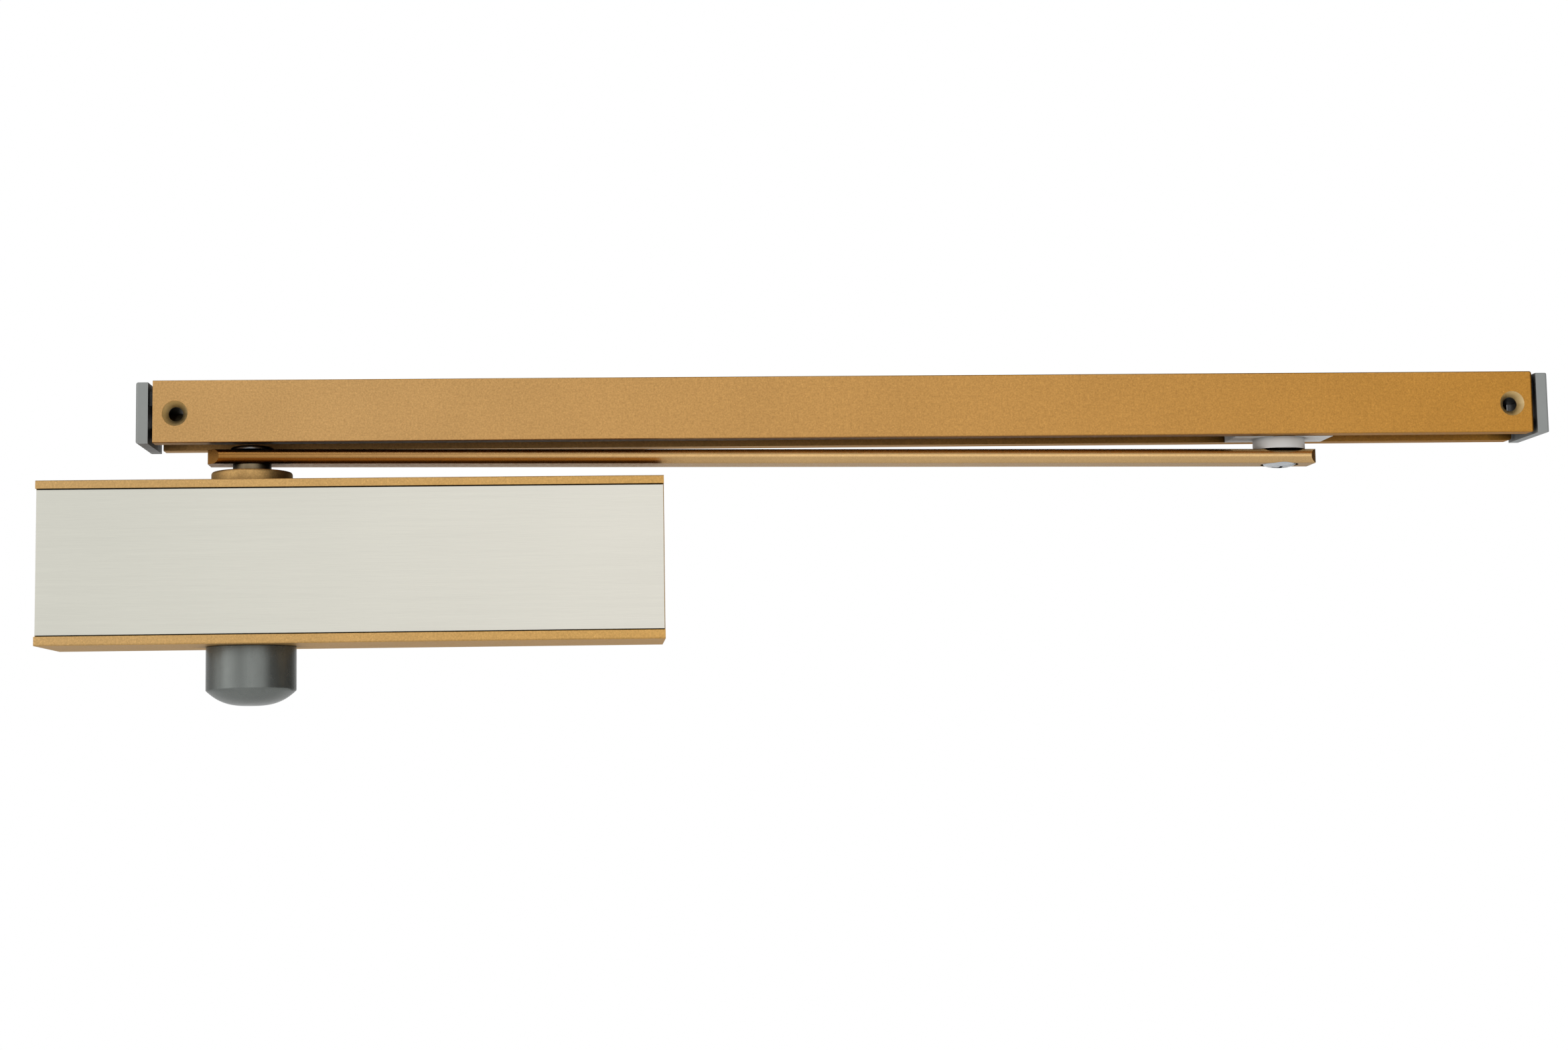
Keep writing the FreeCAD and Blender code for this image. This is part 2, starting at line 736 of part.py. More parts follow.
def return_spring(piston_right):
    start = f"({piston_right}) - piston_skirt + piston_skirt_floor + spring_start_gap"
    end = "seat_x - spring_wire / 2 - spring_end_gap"
    path = doc.addObject("Part::Helix", "spring_path")
    bind(path, "Radius", "spring_mean_dia / 2")
    bind(path, "Height", f"{end} - ({start})")
    bind(path, "Pitch", f"({end} - ({start})) / spring_turns")
    wire = doc.addObject("Part::Circle", "spring_wire")
    bind(wire, "Radius", "spring_wire / 2")
    turn = FreeCAD.Rotation(FreeCAD.Vector(1, 0, 0), 90)
    wire.Placement = FreeCAD.Placement(FreeCAD.Vector(), turn)
    bind(wire, ".Placement.Base.x", "spring_mean_dia / 2")
    spring = doc.addObject("Part::Sweep", "return_spring")
    spring.Label = "return_spring"
    spring.Sections = [wire]
    spring.Spine = (path, ["Edge1"])
    spring.Solid = True
    spring.Frenet = True
    doc.recompute()
    place(spring, (start, "-bore_back", "0"), (0, 1, 0), 90)
    nodes.append(spring)


# ---------------------------------------------------------------- plugs, adjuster, valves
def end_plug(label, angle, hollow):
    """A plug screwed into the end of the bore, with a groove for its O-ring."""
    outer = "bore_dia / 2 - press_gap"
    groove = "bore_dia / 2 - ring_wire - ring_gap"
    face = "body_length / 2 - plug_recess"
    back = f"{face} - plug_length"
    groove_face = f"{back} + plug_groove"
    groove_back = f"{groove_face} - ring_wire * groove_width"
    inside = "adjuster_dia / 2 + adjuster_play" if hollow else "0"
    profile = [
        (inside, face),
        (f"{outer} - plug_edge", face),
        (outer, f"{face} - plug_edge"),
        (outer, groove_face),
        (groove, groove_face),
        (groove, groove_back),
        (outer, groove_back),
        (outer, back),
        (inside, back),
    ]
    body = turned(label, profile, ("0", "-bore_back", "0"), (0, 1, 0), angle)
    if hollow:
        spanner_holes(body, face)
    else:
        hex_socket(body, face, "plug_socket", "plug_socket_depth")


def spanner_holes(body, face):
    """Two blind holes for a pin spanner beside the adjuster."""
    holes = new_sketch(body, "XY_Plane", face)
    for side in ("", "-"):
        circle(holes, "0", f"{side}plug_spanner_offset", "plug_spanner_dia")
    cut(body, holes, "plug_spanner_depth")


def plugs():
    end_plug("left_end_plug", -90, hollow=False)
    end_plug("right_end_plug", 90, hollow=True)
    centre = "body_length / 2 - plug_recess - plug_length + plug_groove - ring_wire * groove_width / 2"
    wire = "ring_wire - 2 * ring_gap"
    for label, side in (("left_plug_oring", "-"), ("right_plug_oring", "")):
        at = (f"{side}({centre})", "-bore_back", "0")
        torus(label, "bore_dia - ring_wire - 2 * ring_gap", wire, at, (0, 1, 0), 90)


def spring_adjuster():
    """Screw that carries the spring seat; its flange sits behind the right plug."""
    face = "body_length / 2 - plug_recess - adjuster_sunk"
    plug_back = "body_length / 2 - plug_recess - plug_length"
    shank = "adjuster_dia / 2"
    groove = f"{shank} - adjuster_ring_wire - ring_gap"
    groove_mid = f"{plug_back} + adjuster_ring_from_back"
    half_groove = "adjuster_ring_wire * groove_width / 2"
    flange = "adjuster_flange_dia / 2"
    profile = [
        ("0", face),
        (shank, face),
        (shank, f"{groove_mid} + {half_groove}"),
        (groove, f"{groove_mid} + {half_groove}"),
        (groove, f"{groove_mid} - {half_groove}"),
        (shank, f"{groove_mid} - {half_groove}"),
        (shank, f"{plug_back} - adjuster_float"),
        (flange, f"{plug_back} - adjuster_float"),
        (flange, f"{plug_back} - adjuster_float - adjuster_flange"),
        (shank, f"{plug_back} - adjuster_float - adjuster_flange"),
        (shank, "adjuster_inner_x + adjuster_point"),
        (f"{shank} - adjuster_point", "adjuster_inner_x"),
        ("0", "adjuster_inner_x"),
    ]
    body = turned("spring_adjuster", profile, ("0", "-bore_back", "0"), (0, 1, 0), 90)
    hex_socket(body, face, "adjuster_socket", "adjuster_socket_depth")
    ring_dia = "adjuster_dia - adjuster_ring_wire"
    wire = "adjuster_ring_wire - 2 * ring_gap"
    torus("adjuster_oring", ring_dia, wire, (groove_mid, "-bore_back", "0"), (0, 1, 0), 90)


def spring_seat():
    """Washer that the spring stands on, threaded on the adjuster, with a spigot inside the coils."""
    inside = "adjuster_dia / 2 + adjuster_play"
    back = "seat_x + seat_thick"
    profile = [
        (inside, back),
        ("seat_dia / 2", back),
        ("seat_dia / 2", "seat_x"),
        ("spigot_guide_dia / 2", "seat_x"),
        ("spigot_guide_dia / 2", "seat_x - seat_spigot"),
        (inside, "seat_x - seat_spigot"),
    ]
    turned("spring_seat", profile, ("0", "-bore_back", "0"), (0, 1, 0), 90)


def speed_valve(label, side):
    """A needle valve in the left end of the body, with its O-ring and a screwdriver slot."""
    outer = "valve_dia / 2"
    groove = f"{outer} - valve_ring_wire - ring_gap"
    groove_end = "valve_groove + valve_ring_wire * groove_width"
    profile = [
        ("0", "-valve_sunk"),
        (outer, "-valve_sunk"),
        (outer, "-valve_groove"),
        (groove, "-valve_groove"),
        (groove, f"-({groove_end})"),
        (outer, f"-({groove_end})"),
        (outer, "-valve_length + valve_point + 1"),
        ("port_dia / 2", "-valve_length + valve_point"),
        ("valve_tip_dia / 2", "-valve_length"),
        ("0", "-valve_length"),
    ]
    at = ("-body_length / 2", "-valve_front", f"{side}valve_z")
    body = turned(f"{label}_speed_valve", profile, at, (0, 1, 0), -90)
    slot = new_sketch(body, "XY_Plane", "-valve_sunk")
    rectangle(slot, "-valve_slot / 2", "valve_slot / 2", "-valve_dia", "valve_dia")
    cut(body, slot, "valve_slot_depth")
    ring_x = "-body_length / 2 + valve_groove + valve_ring_wire * groove_width / 2"
    ring_at = (ring_x, "-valve_front", f"{side}valve_z")
    wire = "valve_ring_wire - 2 * ring_gap"
    torus(f"{label}_valve_oring", "valve_dia - valve_ring_wire", wire, ring_at, (0, 1, 0), 90)


# ---------------------------------------------------------------- arm
def arm_frame():
    """Placement of the arm: it points from the spindle to the slider and droops a little."""
    swing = math.degrees(math.asin((sheet.bore_back - sheet.slider_back) / sheet.arm_reach))
    droop = FreeCAD.Rotation(FreeCAD.Vector(0, 1, 0), sheet.arm_droop_deg)
    yaw = FreeCAD.Rotation(FreeCAD.Vector(0, 0, 1), swing)
    return yaw.multiply(droop)


def in_arm(thing):
    """Places a piece that is drawn in the arm's own frame, origin at the spindle on its underside."""
    thing.Placement = FreeCAD.Placement(FreeCAD.Vector(), arm_frame())
    for letter, text in zip("xyz", ("spindle_x", "-bore_back", "shoulder_height + arm_lift")):
        bind(thing, f".Placement.Base.{letter}", text)


def slide_arm():
    """Flat bar with round long edges, a square hole over the spindle and a bushed far hole."""
    body = new_body("slide_arm")
    in_arm(body)
    section = new_sketch(body, "YZ_Plane", "-arm_back_end")
    rectangle(section, "-arm_width / 2", "arm_width / 2", "0", "arm_thick")
    pad(body, section, "arm_back_end + arm_reach + arm_far_end")
    round_edges(body, "arm_thick / 2 - press_gap", long_arm_edge)
    cut_arm_corners(body)
    square = new_sketch(body, "XY_Plane")
    side = "(square_side / 2 + square_play)"
    turn_back = "(-asin((bore_back - slider_back) / arm_reach))"
    spots = []
    for a, b in ((-1, -1), (1, -1), (1, 1), (-1, 1)):
        across = f"{side} * ({a} * cos({turn_back}) - ({b}) * sin({turn_back}))"
        up = f"{side} * ({a} * sin({turn_back}) + ({b}) * cos({turn_back}))"
        spots.append((across, up))
    outline(square, spots)
    cut(body, square, "2 * arm_thick + margin", midplane=True)
    pivot = new_sketch(body, "XY_Plane")
    circle(pivot, "arm_reach", "0", "bush_dia + 2 * press_gap")
    cut(body, pivot, "2 * arm_thick + margin", midplane=True)
    recess = new_sketch(body, "XY_Plane")
    circle(recess, "arm_reach", "0", "pivot_recess_dia")
    cut(body, recess, "2 * pivot_recess", midplane=True)


def cut_arm_corners(body):
    """Slants the four corners of the bar, seen from above."""
    corners = new_sketch(body, "XY_Plane")
    left, right = "-arm_back_end", "(arm_reach + arm_far_end)"
    for end, inward, sign, size in (
        (left, 1, "-", "arm_front_corner"),
        (left, 1, "", "arm_rear_corner"),
        (right, -1, "-", "arm_tip_corner"),
        (right, -1, "", "arm_tip_corner"),
    ):
        outline(corners, [
            (f"{end} + {inward} * {size}", f"{sign}(arm_width / 2 + press_gap)"),
            (f"{end} - {inward} * press_gap", f"{sign}(arm_width / 2 + press_gap)"),
            (f"{end} - {inward} * press_gap", f"{sign}(arm_width / 2 - {size})"),
        ])
    cut(body, corners, "2 * arm_thick + margin", midplane=True)


def long_arm_edge(edge):
    return runs_along(edge, (1, 0, 0)) and edge.Length > sheet.arm_reach


def arm_screw():
    """Low round head that covers the spindle's square, with a socket and a plain shank."""
    low = "arm_thick + arm_screw_gap"
    radius = "arm_screw_head_dia / 2"
    crown = [
        (f"{radius} - arm_screw_head * (1 - sin({turn}))", f"{low} + arm_screw_head * cos({turn})")
        for turn in (0, 30, 60, 90)
    ]
    profile = [("0", f"{low} + arm_screw_head")] + crown + [
        ("arm_screw_dia / 2", low),
        ("arm_screw_dia / 2", "arm_thick - arm_screw_length"),
        ("0", "arm_thick - arm_screw_length"),
    ]
    at = ("spindle_x", "-bore_back", "shoulder_height + arm_lift")
    body = turned("arm_screw", profile, at)
    hex_socket(body, f"{low} + arm_screw_head", "arm_screw_socket", "arm_screw_socket_depth")


def slider_point(up):
    """A point on the slider's axis, as three formulas."""
    along = "spindle_x + sqrt(arm_reach ^ 2 - (bore_back - slider_back) ^ 2)"
    return (along, "-slider_back", up)


ARM_UNDER = "(shoulder_height + arm_lift - arm_reach * sin(arm_droop_deg))"


def arm_bush():
    low = "pivot_recess + bush_low_gap"
    high = "arm_thick - bush_top_gap"
    inside = "pivot_dia / 2 + bush_play"
    profile = [
        (inside, low),
        ("bush_dia / 2", low),
        ("bush_dia / 2", high),
        (inside, high),
    ]
    turned("arm_bush", profile, slider_point(ARM_UNDER))


def pivot_screw():
    """Shoulder screw from below: the arm turns on its shoulder, its thread holds the slider."""
    crown = f"{ARM_UNDER} - pivot_head_drop"
    seat = f"{ARM_UNDER} + pivot_recess - pivot_head_gap"
    shoulder = f"{ARM_UNDER} + arm_thick + boss_gap"
    radius = "pivot_head_dia / 2"
    dome = [
        (f"{radius} * sin({turn})", f"{crown} + (pivot_head_drop + pivot_recess / 4) * (1 - cos({turn}))")
        for turn in range(0, 91, 15)
    ]
    profile = dome + [
        (radius, seat),
        ("pivot_dia / 2", seat),
        ("pivot_dia / 2", shoulder),
        ("pivot_thread_dia / 2", shoulder),
        ("pivot_thread_dia / 2", f"{shoulder} + pivot_thread"),
        ("0", f"{shoulder} + pivot_thread"),
    ]
    body = turned("pivot_screw", profile, slider_point("0"))
    cross = new_sketch(body, "XY_Plane", crown)
    reach, narrow = "pivot_cross / 2", "pivot_cross_width / 2"
    arms = [(narrow, narrow), (narrow, reach), (f"-{narrow}", reach)]
    outline(cross, [quarter_turned(point, turn) for turn in range(4) for point in arms])
    cut(body, cross, "pivot_cross_depth", backwards=True)


def quarter_turned(point, count):
    """A point of formulas, turned about the origin by a number of right angles."""
    across, up = point
    for _ in range(count):
        across, up = f"-({up})", across
    return across, up


def slider_block():
    """Nylon slider: a block with a neck in the rail's slot and a round boss below it."""
    body = new_body("slider_block", slider_point("0"))
    block = new_sketch(body, "YZ_Plane", "-block_length / 2")
    neck, wide = "block_neck / 2", "block_width / 2"
    under, lip = "rail_bottom - block_drop", "rail_bottom + rail_lip + block_lip_gap"
    outline(block, [
        (f"-{neck}", under), (neck, under), (neck, lip), (wide, lip),
        (wide, "block_top"), (f"-{wide}", "block_top"), (f"-{wide}", lip), (f"-{neck}", lip),
    ])
    pad(body, block, "block_length")
    boss_low = f"{ARM_UNDER} + arm_thick + boss_gap"
    boss = new_sketch(body, "XY_Plane", boss_low)
    circle(boss, "0", "0", "boss_dia")
    pad(body, boss, f"{under} - ({boss_low})")
    hole = new_sketch(body, "XY_Plane", "block_top")
    circle(hole, "0", "0", "insert_dia + 2 * press_gap")
    cut(body, hole)


def slider_insert():
    """Threaded brass tube inside the slider."""
    low = f"{ARM_UNDER} + arm_thick + boss_gap"
    high = "block_top - insert_sunk"
    inside = "pivot_thread_dia / 2 + press_gap"
    profile = [
        (inside, low),
        ("insert_dia / 2", low),
        ("insert_dia / 2", high),
        (inside, high),
    ]
    turned("slider_insert", profile, slider_point("0"))


# ---------------------------------------------------------------- rail
def guide_rail():
    body = new_body("guide_rail", ("rail_centre_x", "0", "0"))
    half_slot = "rail_slot / 2"
    middle = "-rail_depth / 2"
    top, low = "rail_bottom + rail_height", "rail_bottom"
    section = new_sketch(body, "YZ_Plane")
    outline(section, [
        ("-rail_depth", low), (f"{middle} - {half_slot}", low),
        (f"{middle} - {half_slot}", f"{low} + rail_lip"), ("-rail_depth + rail_wall", f"{low} + rail_lip"),
        ("-rail_depth + rail_wall", f"{top} - rail_wall"), ("-rail_wall", f"{top} - rail_wall"),
        ("-rail_wall", f"{low} + rail_lip"), (f"{middle} + {half_slot}", f"{low} + rail_lip"),
        (f"{middle} + {half_slot}", low), ("0", low), ("0", top), ("-rail_depth", top),
    ])
    pad(body, section, "rail_length", midplane=True)
    round_edges(body, "rail_edge", outer_rail_edge)
    round_edges(body, "rail_end_corner", far_top_edge)
    holes = new_sketch(body, "XZ_Plane", "rail_depth")
    for side in ("", "-"):
        circle(holes, f"{side}rail_hole_spacing / 2", "rail_hole_z", "rail_hole_dia")
    countersunk_holes(body, holes, "rail_hole_dia", "rail_head_dia", "rail_head_angle")


def near(value, *targets):
    return any(abs(value - target) < 0.01 for target in targets)


def outer_rail_edge(edge):
    """The four long edges outside the rail."""
    point = edge.Vertexes[0].Point
    low, high = sheet.rail_bottom, sheet.rail_bottom + sheet.rail_height
    return runs_along(edge, (1, 0, 0)) and near(point.y, 0, -sheet.rail_depth) and near(point.z, low, high)


def far_top_edge(edge):
    """The top edge across the rail's end beyond the slider."""
    point = edge.Vertexes[0].Point
    top = sheet.rail_bottom + sheet.rail_height
    return runs_along(edge, (0, 1, 0)) and near(point.x, sheet.rail_length / 2) and near(point.z, top)


def rail_end_cap(label, side, angle, gap):
    """Plastic cap with a flange outside the rail and tabs gripping its inside."""
    at = (f"rail_centre_x + {side} * rail_length / 2", "-rail_depth / 2", "0")
    body = new_body(label, at, (0, 0, 1), angle)
    flange = new_sketch(body, "YZ_Plane", f"-{gap} - cap_flange")
    half = "rail_depth / 2"
    rectangle(flange, f"-{half}", half, "rail_bottom - cap_drop", "rail_bottom + rail_height - cap_top_step")
    pad(body, flange, "cap_flange")
    outer_x = -sheet.getPropertyByName(gap) - sheet.cap_flange
    round_edges(body, "cap_corner", lambda edge: all(near(v.Point.x, outer_x) for v in edge.Vertexes))
    root = "cap_flange / 4"
    inner = "rail_depth / 2 - rail_wall - cap_fit"
    tabs = new_sketch(body, "YZ_Plane", f"-{gap} - {root}")
    rectangle(tabs, f"-({inner})", inner, "cap_tab_low", "cap_tab_high")
    low = "rail_bottom + rail_lip + cap_fit"
    rectangle(tabs, "-cap_foot_width / 2", "cap_foot_width / 2", low, "cap_foot_high")
    pad(body, tabs, f"cap_tab_length + {gap} + {root}")


# ---------------------------------------------------------------- assembly
housing()
cover_plate()
plate_clips()
for name, side, axis, angle in (("top", 1, (0, 0, 1), 0), ("bottom", -1, (1, 0, 0), 180)):
    bearing_cover(f"{name}_bearing_cover", axis, angle)
    shaft_seal(f"{name}_shaft_seal", axis, angle)
    needle_bearing(f"{name}_needle_bearing", side)
    thrust_washer(f"{name}_thrust_washer", axis, angle)
spindle_cap()
spindle_pinion()
piston_left, piston_right = piston()
check_valve(piston_left)
return_spring(piston_right)
plugs()
spring_adjuster()
spring_seat()
speed_valve("closing", "")
speed_valve("latching", "-")
slide_arm()
arm_screw()
arm_bush()
pivot_screw()
slider_block()
slider_insert()
guide_rail()
rail_end_cap("left_rail_end_cap", -1, 0, "left_cap_gap")
rail_end_cap("right_rail_end_cap", 1, 180, "right_cap_gap")
doc.recompute()

faults = [thing.Name for thing in doc.Objects if {"Invalid", "Error"} & set(thing.State)]
faults += [node.Label for node in nodes if node.Shape.isNull() or not node.Shape.isValid()]
if faults:
    raise SystemExit(f"failed objects: {faults}")

os.makedirs("parts", exist_ok=True)
for node in nodes:
    node.Shape.exportStep(os.path.join("parts", f"{node.Label}.step"))
    print(f"{node.Label}: {node.Shape.Volume:.1f} mm3 in {len(node.Shape.Solids)} solid(s)")
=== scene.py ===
import bpy
import bmesh
import json
import math
from mathutils import Matrix, Vector


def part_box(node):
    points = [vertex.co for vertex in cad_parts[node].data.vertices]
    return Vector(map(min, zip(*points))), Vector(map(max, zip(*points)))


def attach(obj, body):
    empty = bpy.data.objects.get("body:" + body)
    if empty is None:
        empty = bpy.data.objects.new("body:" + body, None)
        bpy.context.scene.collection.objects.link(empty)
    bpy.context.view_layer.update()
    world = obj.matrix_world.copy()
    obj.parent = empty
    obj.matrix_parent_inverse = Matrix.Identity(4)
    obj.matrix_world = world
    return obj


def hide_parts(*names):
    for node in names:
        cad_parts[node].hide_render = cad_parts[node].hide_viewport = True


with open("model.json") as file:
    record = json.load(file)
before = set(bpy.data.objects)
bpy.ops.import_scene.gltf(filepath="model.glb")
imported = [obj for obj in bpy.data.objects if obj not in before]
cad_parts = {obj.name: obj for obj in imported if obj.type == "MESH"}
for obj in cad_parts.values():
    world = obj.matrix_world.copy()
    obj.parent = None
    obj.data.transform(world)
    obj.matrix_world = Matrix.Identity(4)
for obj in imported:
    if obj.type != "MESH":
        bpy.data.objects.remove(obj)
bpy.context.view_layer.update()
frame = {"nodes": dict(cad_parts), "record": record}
STUDIO_LEVEL = 1.68
# how bright the studio is high overhead, as a share of the ring
OVERHEAD = 0.35
# how bright the studio is at each angle from straight in front of the object, right positive
STUDIO_RING = (
    (-180, 0.40), (-115, 0.22), (-80, 0.60), (-58, 0.95), (-22, 0.55), (8, 0.80), (32, 0.65), (62, 0.06),
    (120, 0.03), (180, 0.40),
)


# ---------------------------------------------------------------- node helpers
class Shader:
    """A material with a Principled shader, and short ways to add nodes to it."""

    def __init__(self, name, colour, metallic=0.0, roughness=0.5, **sockets):
        self.material = bpy.data.materials.new(name)
        self.material.use_nodes = True
        self.tree = self.material.node_tree
        self.bsdf = self.tree.nodes["Principled BSDF"]
        self.bsdf.inputs["Base Color"].default_value = (*colour, 1.0)
        self.bsdf.inputs["Metallic"].default_value = metallic
        self.bsdf.inputs["Roughness"].default_value = roughness
        for socket, value in sockets.items():
            self.bsdf.inputs[socket.replace("_", " ")].default_value = value
        self.place = self.tree.nodes.new("ShaderNodeTexCoord").outputs["Object"]

    def node(self, kind, **inputs):
        made = self.tree.nodes.new(kind)
        for name, value in inputs.items():
            socket = made.inputs[name.replace("_", " ")]
            if isinstance(value, bpy.types.NodeSocket):
                self.tree.links.new(value, socket)
            else:
                socket.default_value = value
        return made

    def link(self, output, name):
        self.tree.links.new(output, self.bsdf.inputs[name])

    def stretched(self, x, y, z):
        """The object's coordinates, scaled differently along each axis."""
        return self.node("ShaderNodeMapping", Vector=self.place, Scale=(x, y, z)).outputs["Vector"]

    def noise(self, scale, detail=2.0, where=None, roughness=0.5):
        made = self.node("ShaderNodeTexNoise", Vector=where or self.place, Scale=scale, Detail=detail,
                         Roughness=roughness)
        return made.outputs["Fac"]

    def remap(self, value, low, high, to_low, to_high):
        made = self.node("ShaderNodeMapRange", Value=value, From_Min=low, From_Max=high,
                         To_Min=to_low, To_Max=to_high)
        return made.outputs["Result"]

    def math(self, operation, first, second):
        made = self.tree.nodes.new("ShaderNodeMath")
        made.operation = operation
        for socket, value in zip(made.inputs, (first, second)):
            if isinstance(value, bpy.types.NodeSocket):
                self.tree.links.new(value, socket)
            else:
                socket.default_value = value
        return made.outputs["Value"]

    def mix(self, factor, first, second, blend="MIX"):
        made = self.tree.nodes.new("ShaderNodeMix")
        made.data_type = "RGBA"
        made.blend_type = blend
        for index, value in ((0, factor), (6, first), (7, second)):
            if isinstance(value, bpy.types.NodeSocket):
                self.tree.links.new(value, made.inputs[index])
            elif index:
                made.inputs[index].default_value = (*value, 1.0)
            else:
                made.inputs[index].default_value = value
        return made.outputs[2]

    def grey(self, shade):
        return self.node("ShaderNodeCombineColor", Red=shade, Green=shade, Blue=shade).outputs["Color"]

    def shadowed(self, colour, reach=0.012, darkest=0.03):
        """The colour with painted shade: darkened by ambient occlusion in gaps and tight corners."""
        corner = self.node("ShaderNodeAmbientOcclusion", Distance=reach)
        corner.samples = 8
        open_to_light = self.remap(corner.outputs["AO"], 0.25, 0.8, darkest, 1.0)
        return self.mix(1.0, colour, self.grey(open_to_light), "MULTIPLY")

    def bump(self, height, strength, distance):
        made = self.node("ShaderNodeBump", Height=height, Strength=strength, Distance=distance)
        return made.outputs["Normal"]


def linear(red, green, blue):
    """Linear colour of an sRGB colour given in 0-255."""
    def one(value):
        value /= 255
        return value / 12.92 if value <= 0.04045 else ((value + 0.055) / 1.055) ** 2.4
    return one(red), one(green), one(blue)


# ---------------------------------------------------------------- materials
COUNTERSINK_RADIUS = 0.0044
COUNTERSINK_BLEND = 0.0001
# the pale brass in the countersinks: a painted highlight
COUNTERSINK_HIGHLIGHT = linear(244, 220, 170)
# how near a surface has to be, in metres, to put painted shade on the one it faces
GAP_REACH = 0.01


def rail_fixing_places():
    """The (x, z) places of the rail's screw holes, from the record's mount."""
    mount = next(m for m in frame["record"]["mounts"] if m["name"] == "rail_fixing")
    centre, spacing = mount["pos_m"], mount["dims"]["spacing_x_mm"] / 1000
    return [(centre[0] + side * spacing / 2, centre[2]) for side in (-1, 1)]


def with_painted_countersink_highlights(s, along, colour, places):
    """The colour, turned pale brass in the countersinks at the (x, z) places: a painted highlight."""
    flat = s.node("ShaderNodeCombineXYZ", X=along.outputs["X"], Z=along.outputs["Z"]).outputs["Vector"]
    for x, z in places:
        off = s.node("ShaderNodeVectorMath")
        off.operation = "DISTANCE"
        s.tree.links.new(flat, off.inputs[0])
        off.inputs[1].default_value = (x, 0, z)
        inside = COUNTERSINK_RADIUS - COUNTERSINK_BLEND
        highlight = s.remap(off.outputs["Value"], inside, COUNTERSINK_RADIUS, 1.0, 0.0)
        colour = s.mix(highlight, colour, COUNTERSINK_HIGHLIGHT)
    return colour


def gold_paint(name, near, far, start, end, roughness, grain, reach=GAP_REACH, highlight_at=()):
    """Metallic gold paint: fine grains, painted flake glints, and painted light from near to far along X."""
    s = Shader(name, near, metallic=1.0, roughness=roughness, Specular_Tint=(0.72, 0.66, 0.58, 1.0))
    along = s.node("ShaderNodeSeparateXYZ", Vector=s.place)
    # the tone from near to far along X is painted light and shade
    tone = s.mix(s.remap(along.outputs["X"], start, end, 0.0, 1.0), near, far)
    cloud = s.remap(s.noise(40, 3.0), 0.3, 0.7, 0.97, 1.03)
    grains = s.remap(s.noise(1500, 3.0, roughness=0.7), 0.35, 0.65, 1.0 - grain, 1.0 + grain)
    # bright points: the paint's flakes, with their glints painted in
    painted_glints = s.remap(s.noise(2300, 1.0), 0.66, 0.76, 0.0, 3.0 * grain)
    shade = s.math("ADD", s.math("MULTIPLY", cloud, grains), painted_glints)
    colour = s.mix(1.0, tone, s.grey(shade), "MULTIPLY")
    # painted highlight in the countersinks
    colour = with_painted_countersink_highlights(s, along, colour, highlight_at)
    # painted shade in gaps and tight corners
    s.link(s.shadowed(colour, reach), "Base Color")
    s.link(s.remap(s.noise(700, 2.0), 0.3, 0.7, roughness - 0.05, roughness + 0.05), "Roughness")
    s.link(s.bump(s.noise(1500, 3.0, roughness=0.7), 0.3, 0.00003), "Normal")
    return s.material


def brushed_steel():
    """Fine horizontal brushing with faint longer streaks."""
    s = Shader("brushed_steel", linear(214, 211, 200), metallic=0.85, roughness=0.4, Anisotropic=0.6)
    fine = s.noise(1.0, 3.0, s.stretched(90, 900, 5200), 0.7)
    streaks = s.noise(1.0, 2.0, s.stretched(14, 300, 900))
    cloud = s.noise(16, 2.0)
    shade = s.remap(fine, 0.25, 0.75, 0.955, 1.045)
    shade = s.math("MULTIPLY", shade, s.remap(streaks, 0.3, 0.7, 0.985, 1.015))
    shade = s.math("MULTIPLY", shade, s.remap(cloud, 0.3, 0.7, 0.985, 1.015))
    along = s.node("ShaderNodeSeparateXYZ", Vector=s.place).outputs["X"]
    # lighter towards the right: painted light on the plate
    tone = s.mix(s.remap(along, -0.1, 0.1, 0.0, 1.0), linear(211, 210, 199), linear(222, 219, 208))
    s.link(s.mix(1.0, tone, s.grey(shade), "MULTIPLY"), "Base Color")
    s.link(s.remap(fine, 0.2, 0.8, 0.34, 0.46), "Roughness")
    s.link(s.bump(fine, 0.15, 0.00003), "Normal")
    return s.material


def moulded(name, colour, roughness, reach=GAP_REACH):
    """Moulded plastic: very fine texture, slight mottling, and painted shade in gaps and tight corners."""
    s = Shader(name, colour, roughness=roughness)
    shade = s.remap(s.noise(60, 4.0), 0.3, 0.7, 0.97, 1.03)
    s.link(s.shadowed(s.mix(1.0, colour, s.grey(shade), "MULTIPLY"), reach), "Base Color")
    s.link(s.remap(s.noise(400, 3.0), 0.3, 0.7, roughness - 0.05, roughness + 0.05), "Roughness")
    s.link(s.bump(s.noise(2600, 2.0), 0.2, 0.00004), "Normal")
    return s.material


def silvered(name, colour, roughness):
    """Plastic with a silver finish: soft clear reflections, faint upright streaks, and painted shade in
    gaps.
    """
    s = Shader(name, colour, metallic=0.7, roughness=roughness)
    streak = s.noise(1.0, 3.0, s.stretched(900, 900, 60), 0.6)
    cloud = s.noise(90, 3.0)
    shade = s.math("MULTIPLY", s.remap(streak, 0.3, 0.7, 0.96, 1.04), s.remap(cloud, 0.3, 0.7, 0.96, 1.04))
    s.link(s.shadowed(s.mix(1.0, colour, s.grey(shade), "MULTIPLY"), 0.008, 0.3), "Base Color")
    s.link(s.remap(s.noise(300, 3.0), 0.3, 0.7, roughness - 0.03, roughness + 0.05), "Roughness")
    s.link(s.bump(s.noise(2200, 2.0), 0.15, 0.00003), "Normal")
    return s.material


